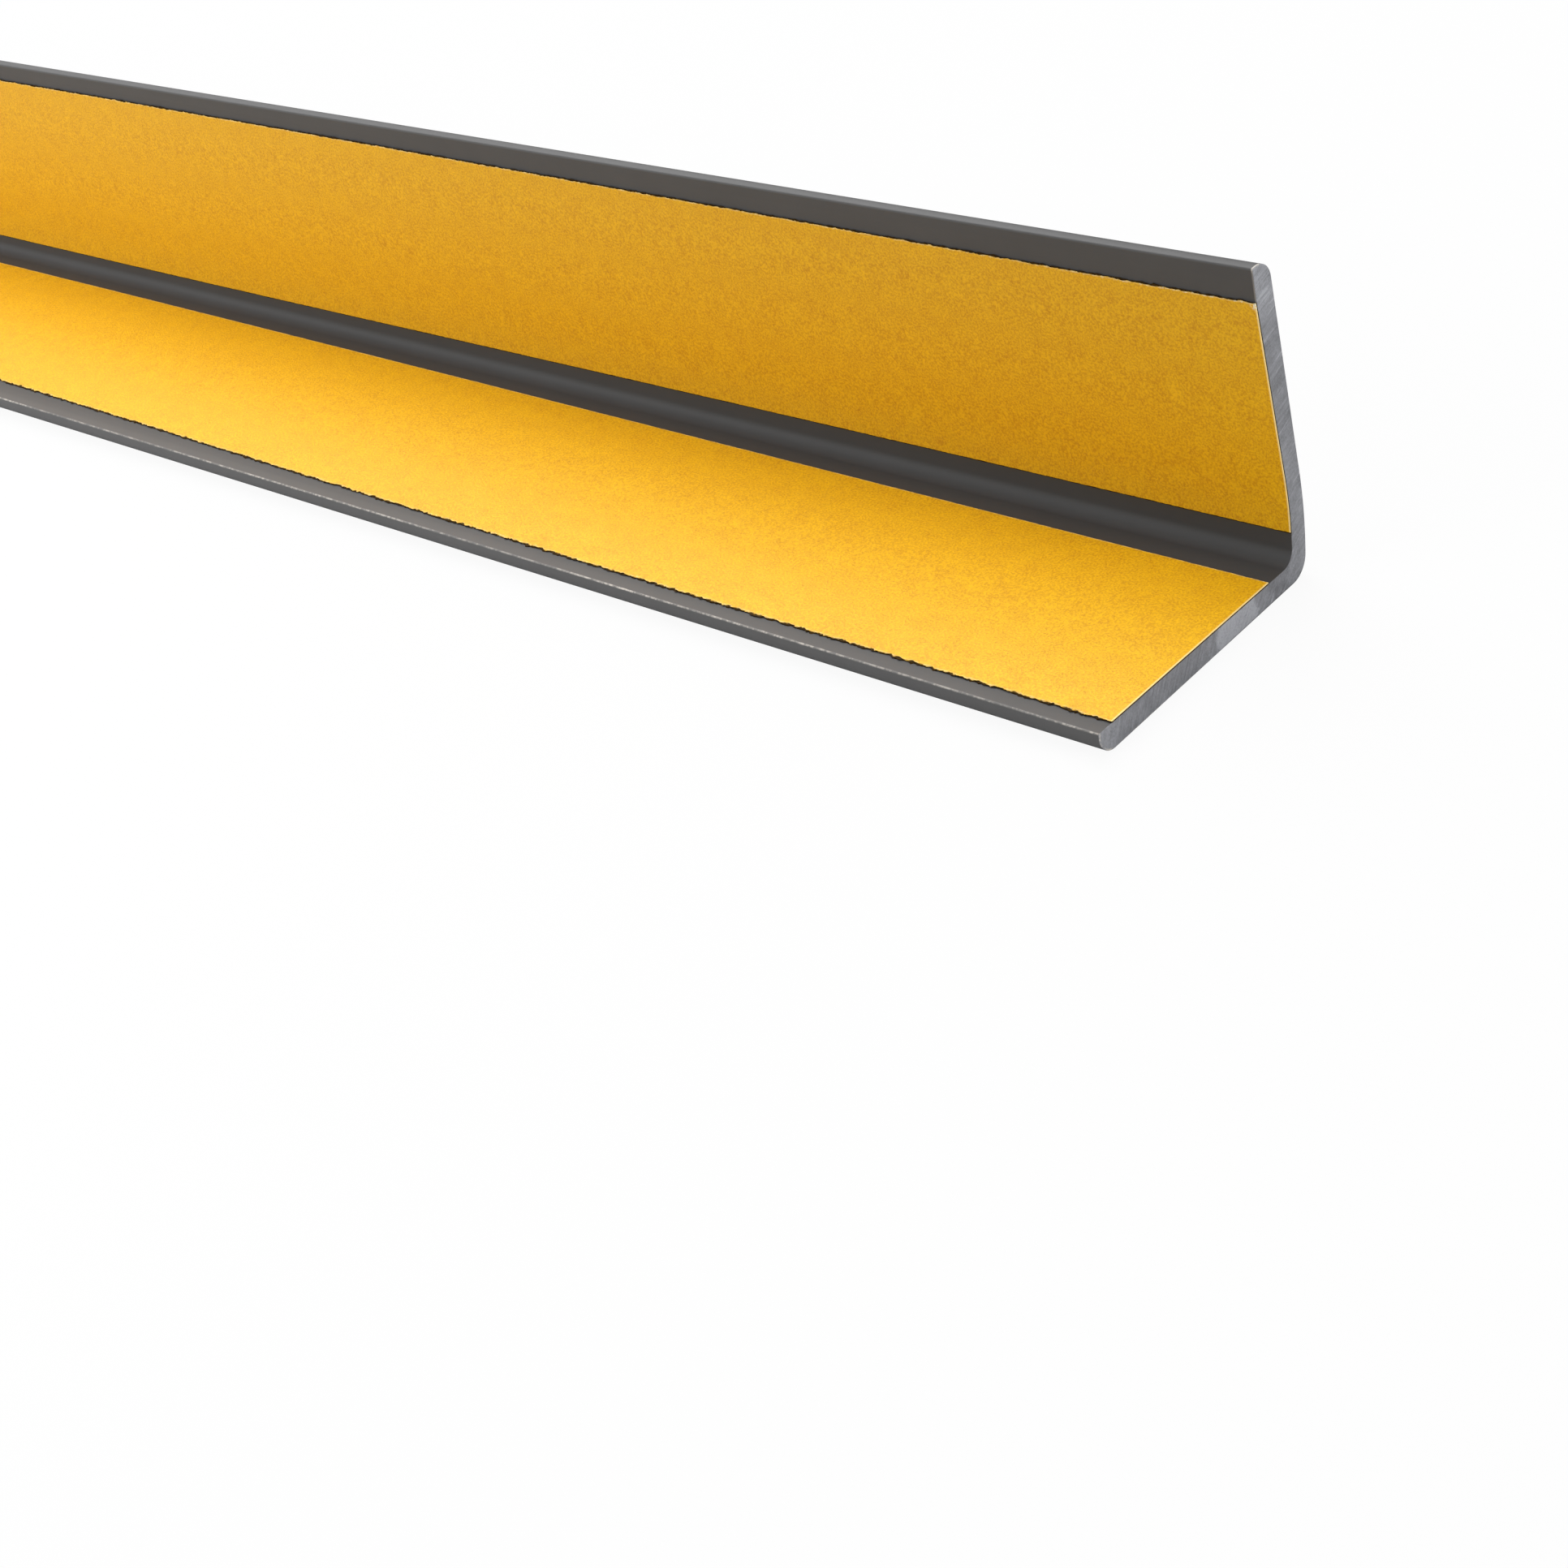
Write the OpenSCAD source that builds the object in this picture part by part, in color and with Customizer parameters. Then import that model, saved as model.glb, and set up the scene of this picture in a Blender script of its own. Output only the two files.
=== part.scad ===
// Self-adhesive plastic angle profile, cut to a stock length.
// It lies along X on its base flange, with the upright flange at the back (+Y).
// The section is drawn in Y and Z, in millimetres from the back plane and the underside.

/* [Stock] */
// Length of the cut bar
length = 1000; // [100:10:3000]
// Width of the base flange over everything
base_w = 40; // [30:0.5:80]
// Height of the upright flange above the underside
upright_h = 39.2; // [30:0.1:80]

/* [Walls] */
// Wall beside the root
root_wall = 2.6; // [1.5:0.1:4]
// Wall at both lips
lip_wall = 3.15; // [2.2:0.05:4]
// How much thinner the upright's lip is at its inner arris
lip_relief = 0.2; // [0:0.05:0.6]

/* [Corner] */
// Radius of the rounded outer corner
corner_r = 3; // [1:0.1:5]
// Radius of the fillet inside the corner
fillet_r = 2; // [0.5:0.1:3]
// Radius of the rounded outer edge of both lips
lip_r = 2.3; // [0.5:0.1:3]

/* [Bend] */
// Radius of the gentle bend low on the upright's outer face
bend_r = 50; // [30:1:120]
// Height at which the upright's outer face is plumb
bend_z = 12; // [8:0.5:15]
// Angle by which the upright leans back over the base above the bend
close_angle = 0.5; // [0:0.1:3]

/* [Adhesive strips] */
// Bare margin between the base's lip and its strip
base_margin = 2.9; // [0.5:0.1:8]
// Bare wall between the fillet and the base's strip
base_root_gap = 2.9; // [0.5:0.1:8]
// Bare margin between the upright's lip and its strip
upright_margin = 4; // [0.5:0.1:8]
// Bare wall between the fillet and the foot of the upright's strip
upright_root_gap = 2; // [0.5:0.1:8]
// Thickness of the adhesive film
adhesive_t = 0.15; // [0.05:0.01:1]
// Thickness of the paper release liner
liner_t = 0.1; // [0.05:0.01:0.3]

/* [Hidden] */

// Facets on a quarter turn of a small round, and on each stretch of the gentle bend
ROUND_STEPS = 16;
BEND_STEPS = 10;

// A lip's round stays inside its wall.
lip_round = min(lip_r, lip_wall - lip_relief);

// The bend is an arc of the outer face about this centre, and its inner face is concentric.
bend_c = [-bend_r, bend_z];
bend_in_r = bend_r - root_wall;

// The corner round and the fillet touch the bend's two arcs from inside.
corner_c = round_in_bend(bend_r, corner_r, corner_r);
fillet_c = round_in_bend(bend_in_r, fillet_r, root_wall + fillet_r);
corner_lean = asin((bend_z - corner_c[1]) / (bend_r - corner_r));
fillet_lean = asin((bend_z - fillet_c[1]) / (bend_in_r - fillet_r));

// Above the bend both faces of the upright are flat, and the wall grows towards the lip.
bend_top = polar(bend_c, bend_in_r, close_angle);
lip_inner = upright_outer(upright_h) - [lip_wall, 0];
strip_top = on_height(bend_top, lip_inner, upright_h - upright_margin);
upright_dir = unit(strip_top - bend_top);

// The upright strip runs down the flat and round the bend, to its gap above the fillet.
strip_round = bend_in_r * (fillet_lean + close_angle) * PI / 180 - upright_root_gap;
strip_foot = close_angle - max(0, strip_round) / bend_in_r * 180 / PI;

// The base's inner face rises a little from the fillet to the lip.
base_root = [fillet_c[0], root_wall];
base_lip = [-base_w, lip_wall];
base_dir = unit(base_root - base_lip);
base_strip_lip = base_lip + base_margin * base_dir;
base_strip_root = base_root - base_root_gap * base_dir;

function unit(v) = v / norm(v);

function left_of(v) = [-v[1], v[0]];

function polar(c, r, a) = c + r * [cos(a), sin(a)];

// Points along an arc. With first = 1 it leaves out its own start, where another line ends.
function arc(c, r, from, to, steps, first = 0) =
    [for (i = [first:steps]) polar(c, r, from + (to - from) * i / steps)];

// Centre of a round of radius r, at height z, that touches an arc about bend_c from inside.
function round_in_bend(arc_r, r, z) =
    [bend_c[0] + sqrt(pow(arc_r - r, 2) - pow(bend_c[1] - z, 2)), z];

// Point at height z on the flat of the upright's outer face, set in by a distance.
function upright_outer(z, inset = 0) =
    [bend_c[0] + (bend_r - inset - sin(close_angle) * (z - bend_z)) / cos(close_angle), z];

// Point at height z on the line from a to b.
function on_height(a, b, z) = a + (b - a) * (z - a[1]) / (b[1] - a[1]);

// Line under the upright strip, from its foot up to its top edge, raised off the wall.
function upright_line(raised) = concat(
    strip_round > 0
        ? arc(bend_c, bend_in_r - raised, strip_foot, close_angle, BEND_STEPS)
        : [bend_top - strip_round * upright_dir + raised * left_of(upright_dir)],
    [strip_top + raised * left_of(upright_dir)]
);

// Bare wall of the bend, from the strip's foot down to the fillet.
function bare_bend() = concat(
    strip_round > 0 ? [] : [bend_top],
    arc(bend_c, bend_in_r, strip_foot, -fillet_lean, BEND_STEPS, first = 1)
);

// Line under the base strip, from its lip edge to its root edge, raised off the wall.
function base_line(raised) =
    [for (p = [base_strip_lip, base_strip_root]) p + raised * left_of(base_dir)];

function reversed(points) = [for (i = [len(points) - 1:-1:0]) points[i]];

// Closed outline of a film between two heights over a strip's line.
function film(low, high) = concat(low, reversed(high));

function profile_outline() = concat(
    // round of the base's lip, along the underside to the outer corner
    arc([lip_round - base_w, lip_round], lip_round, 180, 270, ROUND_STEPS),
    arc(corner_c, corner_r, 270, 360 - corner_lean, ROUND_STEPS),
    // up the outer face, round the bend and the upright's lip
    arc(bend_c, bend_r, -corner_lean, 0, BEND_STEPS, first = 1),
    close_angle > 0 ? [polar(bend_c, bend_r, close_angle)] : [],
    arc(upright_outer(upright_h - lip_round, lip_round), lip_round, close_angle, 90, ROUND_STEPS),
    [lip_inner + [lip_relief, 0]],
    // down the inner face, through the fillet, and out to the base's lip
    reversed(upright_line(0)),
    bare_bend(),
    arc(fillet_c, fillet_r, -fillet_lean, -90, ROUND_STEPS, first = 1),
    reversed(base_line(0)),
    [base_lip]
);

// A section drawn from the back plane becomes a bar along X, centred on the origin in plan.
module bar(outline) {
    translate([0, base_w / 2, 0])
        rotate([90, 0, 90])
            linear_extrude(height = length, center = true)
                polygon(outline);
}

module angle_profile() {
    color("dimgray")
        bar(profile_outline());
}

module adhesive_strip_base() {
    color("black")
        bar(film(base_line(0), base_line(adhesive_t)));
}

module adhesive_strip_upright() {
    color("black")
        bar(film(upright_line(0), upright_line(adhesive_t)));
}

module release_liner_base() {
    color("goldenrod")
        bar(film(base_line(adhesive_t), base_line(adhesive_t + liner_t)));
}

module release_liner_upright() {
    color("goldenrod")
        bar(film(upright_line(adhesive_t), upright_line(adhesive_t + liner_t)));
}

angle_profile();
adhesive_strip_base();
adhesive_strip_upright();
release_liner_base();
release_liner_upright();
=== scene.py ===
"""Self-adhesive plastic angle profile with two lined adhesive strips, lying on a level studio floor."""

import math
from types import SimpleNamespace

import bpy
from mathutils import Matrix, Vector


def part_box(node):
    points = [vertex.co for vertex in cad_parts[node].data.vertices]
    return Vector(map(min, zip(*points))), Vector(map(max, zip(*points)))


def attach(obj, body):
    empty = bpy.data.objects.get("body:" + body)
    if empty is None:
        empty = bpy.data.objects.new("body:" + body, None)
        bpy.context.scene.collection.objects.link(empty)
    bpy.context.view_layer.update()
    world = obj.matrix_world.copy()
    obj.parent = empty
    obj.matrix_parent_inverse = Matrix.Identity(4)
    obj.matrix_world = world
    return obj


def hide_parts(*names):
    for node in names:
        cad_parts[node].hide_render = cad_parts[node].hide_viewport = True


bl_info = {
    "name": "Self-adhesive angle profile",
    "version": (1, 0, 0),
    "blender": (4, 5, 0),
    "location": "3D View > Sidebar > Angle profile",
    "description": "Builds a lined plastic angle profile and its studio over the packed frame",
    "category": "Add Mesh",
}

MM = 0.001
IMAGE_WIDTH = 1932

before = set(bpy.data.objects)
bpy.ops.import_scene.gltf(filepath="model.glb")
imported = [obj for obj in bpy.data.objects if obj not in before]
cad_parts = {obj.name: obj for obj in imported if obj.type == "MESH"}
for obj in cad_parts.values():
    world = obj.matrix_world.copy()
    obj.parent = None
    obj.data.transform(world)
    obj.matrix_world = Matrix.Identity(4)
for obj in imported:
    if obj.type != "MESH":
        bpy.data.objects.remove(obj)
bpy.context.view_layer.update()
PROFILE_LOW, PROFILE_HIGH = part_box("angle_profile")
PROFILE_SIZE = PROFILE_HIGH - PROFILE_LOW


# Sizes and colours that a user would change

def length_value(name, description, default_mm):
    return bpy.props.FloatProperty(
        name=name, description=description, default=default_mm * MM, min=0, precision=5, unit="LENGTH"
    )


def colour_value(name, description, default):
    return bpy.props.FloatVectorProperty(
        name=name, description=description, default=default, size=3, min=0, max=1, subtype="COLOR"
    )


class ProfileSizes(bpy.types.PropertyGroup):
    length: length_value("Length", "Length of the cut bar", PROFILE_SIZE.x / MM)
    base_w: length_value("Base width", "Width of the base flange over everything", PROFILE_SIZE.y / MM)
    upright_h: length_value("Upright height", "Height of the upright flange", PROFILE_SIZE.z / MM)
    root_wall: length_value("Root wall", "Wall beside the root", 2.6)
    lip_wall: length_value("Lip wall", "Wall at both lips", 3.15)
    lip_relief: length_value("Lip relief", "How much thinner the upright's lip is at its arris", 0.2)
    corner_r: length_value("Corner radius", "Radius of the rounded outer corner", 3)
    fillet_r: length_value("Fillet radius", "Radius of the fillet inside the corner", 2)
    lip_r: length_value("Lip radius", "Radius of the rounded outer edge of both lips", 2.3)
    bend_r: length_value("Bend radius", "Radius of the gentle bend on the upright's outer face", 50)
    bend_z: length_value("Bend height", "Height at which the upright's outer face is plumb", 12)
    close_angle: bpy.props.FloatProperty(
        name="Closing angle", description="Lean of the upright back over the base above the bend",
        default=math.radians(0.5), min=0, max=math.radians(3), subtype="ANGLE",
    )
    arris_r: length_value("Arris radius", "Softening of the sharp inner arris on each lip", 0.2)
    saw_arris: length_value("Sawn arris", "Softening of the arris round each sawn end", 0.05)
    ridge_h: length_value("Lip ridge", "Height of the raw ridge along the base lip's arris", 0.05)


class StripSizes(bpy.types.PropertyGroup):
    base_margin: length_value("Base margin", "Bare margin between the base's lip and its strip", 2.9)
    base_root_gap: length_value("Base root gap", "Bare wall between the fillet and the base strip", 2.9)
    upright_margin: length_value("Upright margin", "Bare margin between the upright's lip and its strip", 4)
    upright_root_gap: length_value("Upright root gap", "Bare wall from the fillet to the strip's foot", 2)
    adhesive_t: length_value("Adhesive thickness", "Thickness of the adhesive film", 0.15)
    liner_t: length_value("Liner thickness", "Thickness of the paper release liner", 0.1)
    liner_fray: length_value("Liner fray", "How far the slit edges of the paper stray", 0.22)
    adhesive_fray: length_value("Adhesive fray", "How far the edges of the adhesive stray", 0.24)
    drift_run: length_value("Drift run", "Length over which a strip's edge drifts to its furthest", 256)


class FinishColours(bpy.types.PropertyGroup):
    plastic: colour_value("Plastic", "Dark grey satin plastic of the outer faces", (0.034, 0.034, 0.035))
    # mixed in more or less, this colour also paints light and shade on the profile's faces, and a contact
    # shadow on the sawn ends
    matte: colour_value("Matte plastic", "Lighter scuffed plastic of the base's lip", (0.086, 0.085, 0.085))
    sawn: colour_value("Sawn plastic", "Lighter grey of the sawn ends", (0.187, 0.188, 0.2))
    # burr colour, also used for painted glints and highlights on the arrises
    burr_and_glint: colour_value("Burr", "Pale raw plastic on burrs and scuffed arrises", (0.52, 0.48, 0.43))
    paper: colour_value("Liner paper", "Deep yellow release paper", (0.84, 0.483, 0.003))
    paper_dark: colour_value("Paper grain", "Darker grain of the release paper", (0.57, 0.24, 0.0))
    # also the colour of the painted highlight on the paper's slit edges
    paper_edge_and_glint: colour_value("Paper edge", "Paler slit edges of the release paper", (0.95, 0.72, 0.3))
    fibres: colour_value("Torn fibres", "White fibres where the paper is torn", (0.88, 0.84, 0.64))
    adhesive: colour_value("Adhesive", "Dark adhesive film", (0.03, 0.016, 0.003))
    floor: colour_value("Floor", "Pale studio floor", (0.62, 0.62, 0.62))


def power_value(name, description, default):
    return bpy.props.FloatProperty(name=name, description=description, default=default, min=0, unit="POWER")


class StudioSettings(bpy.types.PropertyGroup):
    key_power: power_value("Key light", "Power of the large softbox above and behind, on the left", 24.2)
    top_power: power_value("Top light", "Power of the softbox straight above", 16)
    rim_power: power_value("Rim light", "Power of the low softbox behind, on the left", 6.5)
    fill_power: power_value("Fill light", "Power of the small softbox in front of the near half", 0.83)
    far_fill_power: power_value("Far fill light", "Power of the softbox in front of the far half", 1.2)
    end_power: power_value("End light", "Power of the cool softbox that faces the sawn end", 15)
    far_end_power: power_value("Far end light", "Power of the small softbox that faces the far end", 2)
    room: bpy.props.FloatProperty(
        name="Room light", description="Strength of the even light of the room", default=0.12, min=0
    )


# Section of the profile, drawn from the back plane and the underside

def unit(v):
    return v.normalized()


def left_of(v):
    return Vector((-v.y, v.x))


def polar(centre, radius, angle):
    return centre + radius * Vector((math.cos(angle), math.sin(angle)))


def arc(centre, radius, start, end, steps, first=0):
    return [polar(centre, radius, start + (end - start) * i / steps) for i in range(first, steps + 1)]


def lip_radius(sizes):
    """Radius of both lips' outer edges, which stays within the lips' wall."""
    return min(sizes.lip_r, sizes.lip_wall - sizes.lip_relief)


def section_marks(sizes, strips):
    """Centres, angles and end points that all five outlines share, in metres."""
    m = SimpleNamespace(sizes=sizes, strips=strips)
    m.lip_round = lip_radius(sizes)
    m.bend_c = Vector((-sizes.bend_r, sizes.bend_z))
    m.bend_in_r = sizes.bend_r - sizes.root_wall

    def round_in_bend(arc_r, r, z):
        return Vector((m.bend_c.x + math.sqrt((arc_r - r) ** 2 - (m.bend_c.y - z) ** 2), z))

    def upright_outer(z, inset=0.0):
        lean = sizes.close_angle
        run = sizes.bend_r - inset - math.sin(lean) * (z - sizes.bend_z)
        return Vector((m.bend_c.x + run / math.cos(lean), z))

    m.corner_c = round_in_bend(sizes.bend_r, sizes.corner_r, sizes.corner_r)
    m.fillet_c = round_in_bend(m.bend_in_r, sizes.fillet_r, sizes.root_wall + sizes.fillet_r)
    m.corner_lean = math.asin((sizes.bend_z - m.corner_c.y) / (sizes.bend_r - sizes.corner_r))
    m.fillet_lean = math.asin((sizes.bend_z - m.fillet_c.y) / (m.bend_in_r - sizes.fillet_r))
    m.bend_top = polar(m.bend_c, m.bend_in_r, sizes.close_angle)
    m.lip_inner = upright_outer(sizes.upright_h) - Vector((sizes.lip_wall, 0))
    m.lip_c = upright_outer(sizes.upright_h - m.lip_round, m.lip_round)
    share = (sizes.upright_h - strips.upright_margin - m.bend_top.y) / (m.lip_inner.y - m.bend_top.y)
    m.strip_top = m.bend_top + (m.lip_inner - m.bend_top) * share
    m.upright_dir = unit(m.strip_top - m.bend_top)
    bent_run = m.bend_in_r * (m.fillet_lean + sizes.close_angle) - strips.upright_root_gap
    m.strip_foot = sizes.close_angle - bent_run / m.bend_in_r
    m.base_root = Vector((m.fillet_c.x, sizes.root_wall))
    m.base_lip = Vector((-sizes.base_w, sizes.lip_wall))
    m.base_dir = unit(m.base_root - m.base_lip)
    m.base_strip_lip = m.base_lip + strips.base_margin * m.base_dir
    m.base_strip_root = m.base_root - strips.base_root_gap * m.base_dir
    return m


def eased_corner(before, corner, after, radius, steps=3):
    """Points that round one sharp corner of an outline."""
    a = corner + unit(before - corner) * radius
    b = corner + unit(after - corner) * radius
    return [a.lerp(corner, t).lerp(corner.lerp(b, t), t) for t in (i / steps for i in range(steps + 1))]


ROUND_STEPS = 16
BEND_STEPS = 10
# The raw ridge on the base's lip: its crest and its foot in from the arris, and its root below the arris
RIDGE_CREST = 0.12 * MM
RIDGE_FOOT = 0.35 * MM
RIDGE_ROOT = 0.25 * MM
# How far down the upright's bare strip the finish of its lip runs out, as a share of that strip
LIP_FADE = 0.03
# How matte and how light the plastic is: on the outer faces, in the channel, kept darker as painted shade,
# on the upright's bare strip, on its lip, lightened as painted light on its top, at the foot of the ridge,
# towards which the base's bare strip gets duller and lighter, away from the painted shade along the strip's
# edge, and on the scuffed base's lip
OUTER_MATTE = 0.0
CHANNEL_MATTE = 0.135
INNER_MATTE = 0.3
LIP_MATTE = 0.62
RIDGE_FOOT_MATTE = 0.8
SCUFFED_MATTE = 1.0


def profile_outline(m):
    """The bar's outline, from the base's lip along the underside, up the back and down the inside.
    The second list says how matte the plastic is at each point."""
    s = m.sizes
    points, matte = [], []

    def draw(stretch, finish):
        """Adds a stretch of the outline, whose finish is even or follows the share of its points passed."""
        last = max(1, len(stretch) - 1)
        points.extend(stretch)
        matte.extend(finish(i / last) if callable(finish) else finish for i in range(len(stretch)))

    quarter = math.pi / 2
    base_lip_c = Vector((m.lip_round - s.base_w, m.lip_round))
    base_lip_round = arc(base_lip_c, m.lip_round, 2 * quarter, 3 * quarter, ROUND_STEPS)
    draw(base_lip_round, lambda share: SCUFFED_MATTE * (1 - share ** 2))
    draw(arc(m.corner_c, s.corner_r, 3 * quarter, 4 * quarter - m.corner_lean, ROUND_STEPS), OUTER_MATTE)
    draw(arc(m.bend_c, s.bend_r, -m.corner_lean, 0, BEND_STEPS, first=1), OUTER_MATTE)
    draw([polar(m.bend_c, s.bend_r, s.close_angle)], OUTER_MATTE)
    lip_round = arc(m.lip_c, m.lip_round, s.close_angle, quarter, ROUND_STEPS)
    # the lip's round lightens from its back to its top, and its top and arris keep that lighter tone:
    # painted light on the lip's top
    draw(lip_round, lambda share: LIP_MATTE * share)
    lip_arris = m.lip_inner + Vector((s.lip_relief, 0))
    draw(eased_corner(points[-1], lip_arris, m.strip_top, s.arris_r), LIP_MATTE)
    draw([points[-1].lerp(m.strip_top, LIP_FADE), m.strip_top], INNER_MATTE)
    # from here through the fillet to the base strip the plastic is kept darker: painted shade in the
    # channel
    draw(arc(m.bend_c, m.bend_in_r, s.close_angle, -m.fillet_lean, 2 * BEND_STEPS), CHANNEL_MATTE)
    draw(arc(m.fillet_c, s.fillet_r, -m.fillet_lean, -quarter, ROUND_STEPS, first=1), CHANNEL_MATTE)
    draw([m.base_strip_root, m.base_strip_lip], CHANNEL_MATTE)
    # a raw ridge stands along the arris of the base's lip
    ridge_foot = m.base_lip + RIDGE_FOOT * m.base_dir
    ridge_top = m.base_lip + Vector((RIDGE_CREST, s.ridge_h))
    ridge_root = m.base_lip - Vector((0, RIDGE_ROOT))
    # between the strip's edge and here the base's bare strip lightens: painted shade along the strip's
    # edge, with a duller finish
    draw([ridge_foot], RIDGE_FOOT_MATTE)
    draw(eased_corner(ridge_foot, ridge_top, ridge_root, s.arris_r), SCUFFED_MATTE)
    return points, matte


def upright_line(m, raised, steps=4):
    """Line under the upright strip, from its foot up to its top edge, raised off the wall."""
    s = m.sizes
    points = arc(m.bend_c, m.bend_in_r - raised, m.strip_foot, s.close_angle, steps)
    return points + [m.strip_top + raised * left_of(m.upright_dir)]


def base_line(m, raised):
    """Line under the base strip, from its lip edge to its root edge, raised off the wall."""
    return [p + raised * left_of(m.base_dir) for p in (m.base_strip_lip, m.base_strip_root)]


def with_rims(line, rim):
    """The same line with a point a little way in from each end, so that only the rims fray."""
    first = line[0] + unit(line[1] - line[0]) * rim
    last = line[-1] + unit(line[-2] - line[-1]) * rim
    return [line[0], first, *line[1:-1], last, line[-1]]


def outward_normals(points):
    normals = []
    for i, p in enumerate(points):
        run = points[(i + 1) % len(points)] - points[i - 1]
        normals.append(unit(Vector((run.y, -run.x))))
    return normals


def add_object(name, data):
    obj = bpy.data.objects.new(name, data)
    bpy.context.scene.collection.objects.link(obj)
    return obj


def section_object(name, points, base_w, vectors, marks=None):
    """A closed loop of edges in the plane x = 0, with named vectors and marks on its points."""
    place = [(0, p.x + base_w / 2, p.y) for p in points]
    edges = [(i, (i + 1) % len(points)) for i in range(len(points))]
    mesh = bpy.data.meshes.new(name)
    mesh.from_pydata(place, edges, [])
    for key, values in vectors.items():
        layer = mesh.attributes.new(key, "FLOAT_VECTOR", "POINT")
        for item, v in zip(layer.data, values):
            item.vector = (0, v.x, v.y)
    for key, values in (marks or {}).items():
        mesh.attributes.new(key, "FLOAT", "POINT").data.foreach_set("value", values)
    return add_object(name, mesh)


# Node helpers

def add_node(tree, kind, inputs=None, **settings):
    """Adds a node, sets its properties, and fills or links the inputs that are given."""
    made = tree.nodes.new(kind)
    for key, value in settings.items():
        setattr(made, key, value)
    for key, value in (inputs or {}).items():
        if isinstance(value, bpy.types.NodeSocket):
            tree.links.new(value, made.inputs[key])
        else:
            made.inputs[key].default_value = value
    return made


def calc(tree, operation, a, b=None, c=None):
    given = {i: v for i, v in enumerate((a, b, c)) if v is not None}
    return add_node(tree, "ShaderNodeMath", given, operation=operation).outputs[0]


def times(tree, product, *factors):
    for factor in factors:
        product = calc(tree, "MULTIPLY", product, factor)
    return product


def vector_calc(tree, operation, a, b=None, scale=None):
    given = {i: v for i, v in enumerate((a, b)) if v is not None}
    if scale is not None:
        given["Scale"] = scale
    made = add_node(tree, "ShaderNodeVectorMath", given, operation=operation)
    return made.outputs["Value" if operation in ("LENGTH", "DISTANCE", "DOT_PRODUCT") else "Vector"]


def remap(tree, value, low, high, to_low=0.0, to_high=1.0, smooth=False):
    kind = "SMOOTHSTEP" if smooth else "LINEAR"
    sockets = {"Value": value, "From Min": low, "From Max": high, "To Min": to_low, "To Max": to_high}
    return add_node(tree, "ShaderNodeMapRange", sockets, interpolation_type=kind).outputs["Result"]


def rise(tree, value, low, high):
    """0 up to the low value and 1 from the high one on, smooth between them."""
    return remap(tree, value, low, high, smooth=True)


def fall(tree, value, low, high):
    """1 up to the low value and 0 from the high one on, smooth between them."""
    return remap(tree, value, low, high, 1.0, 0.0, smooth=True)


def blend_value(tree, factor, a, b):
    return add_node(tree, "ShaderNodeMix", {0: factor, 2: a, 3: b}, data_type="FLOAT").outputs[0]


def blend_colour(tree, factor, a, b, mode="MIX"):
    made = add_node(tree, "ShaderNodeMix", data_type="RGBA", blend_type=mode)
    for index, value in ((0, factor), (6, a), (7, b)):
        if isinstance(value, bpy.types.NodeSocket):
            tree.links.new(value, made.inputs[index])
        elif index == 0:
            made.inputs[index].default_value = value
        else:
            made.inputs[index].default_value = (*value[:3], 1)
    return made.outputs[2]


def split_xyz(tree, vector):
    return add_node(tree, "ShaderNodeSeparateXYZ", {0: vector}).outputs


def join_xyz(tree, x, y=0.0):
    return add_node(tree, "ShaderNodeCombineXYZ", {0: x, 1: y}).outputs[0]


def scatter(tree, vector, scale, detail=2.0, roughness=0.5, distortion=0.0):
    sockets = {"Vector": vector, "Scale": scale, "Detail": detail, "Roughness": roughness,
               "Distortion": distortion}
    return add_node(tree, "ShaderNodeTexNoise", sockets).outputs["Fac"]


def new_tree(name, kind, inputs, outputs):
    tree = bpy.data.node_groups.new(name, kind)
    for label, socket, default in inputs:
        made = tree.interface.new_socket(name=label, in_out="INPUT", socket_type=socket)
        if default is not None:
            made.default_value = default
    for label, socket in outputs:
        tree.interface.new_socket(name=label, in_out="OUTPUT", socket_type=socket)
    given = tree.nodes.new("NodeGroupInput")
    result = tree.nodes.new("NodeGroupOutput")
    return tree, given.outputs, result.inputs


# Extrusion of a section along the bar

# How near a point is to a sawn end when it counts as lying on it
SAW_TOLERANCE = 0.01 * MM
# Faces whose normals run this much along the bar are the sawn ends, and folds past this angle stay sharp
END_FACING = 0.9
SHARP_FOLD = math.radians(35)
# The fine part of the fray: how much finer than the coarse part, and its weight against it
FINE_FRAY_RATIO = 6.0
FINE_FRAY_WEIGHT = 0.8


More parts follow.
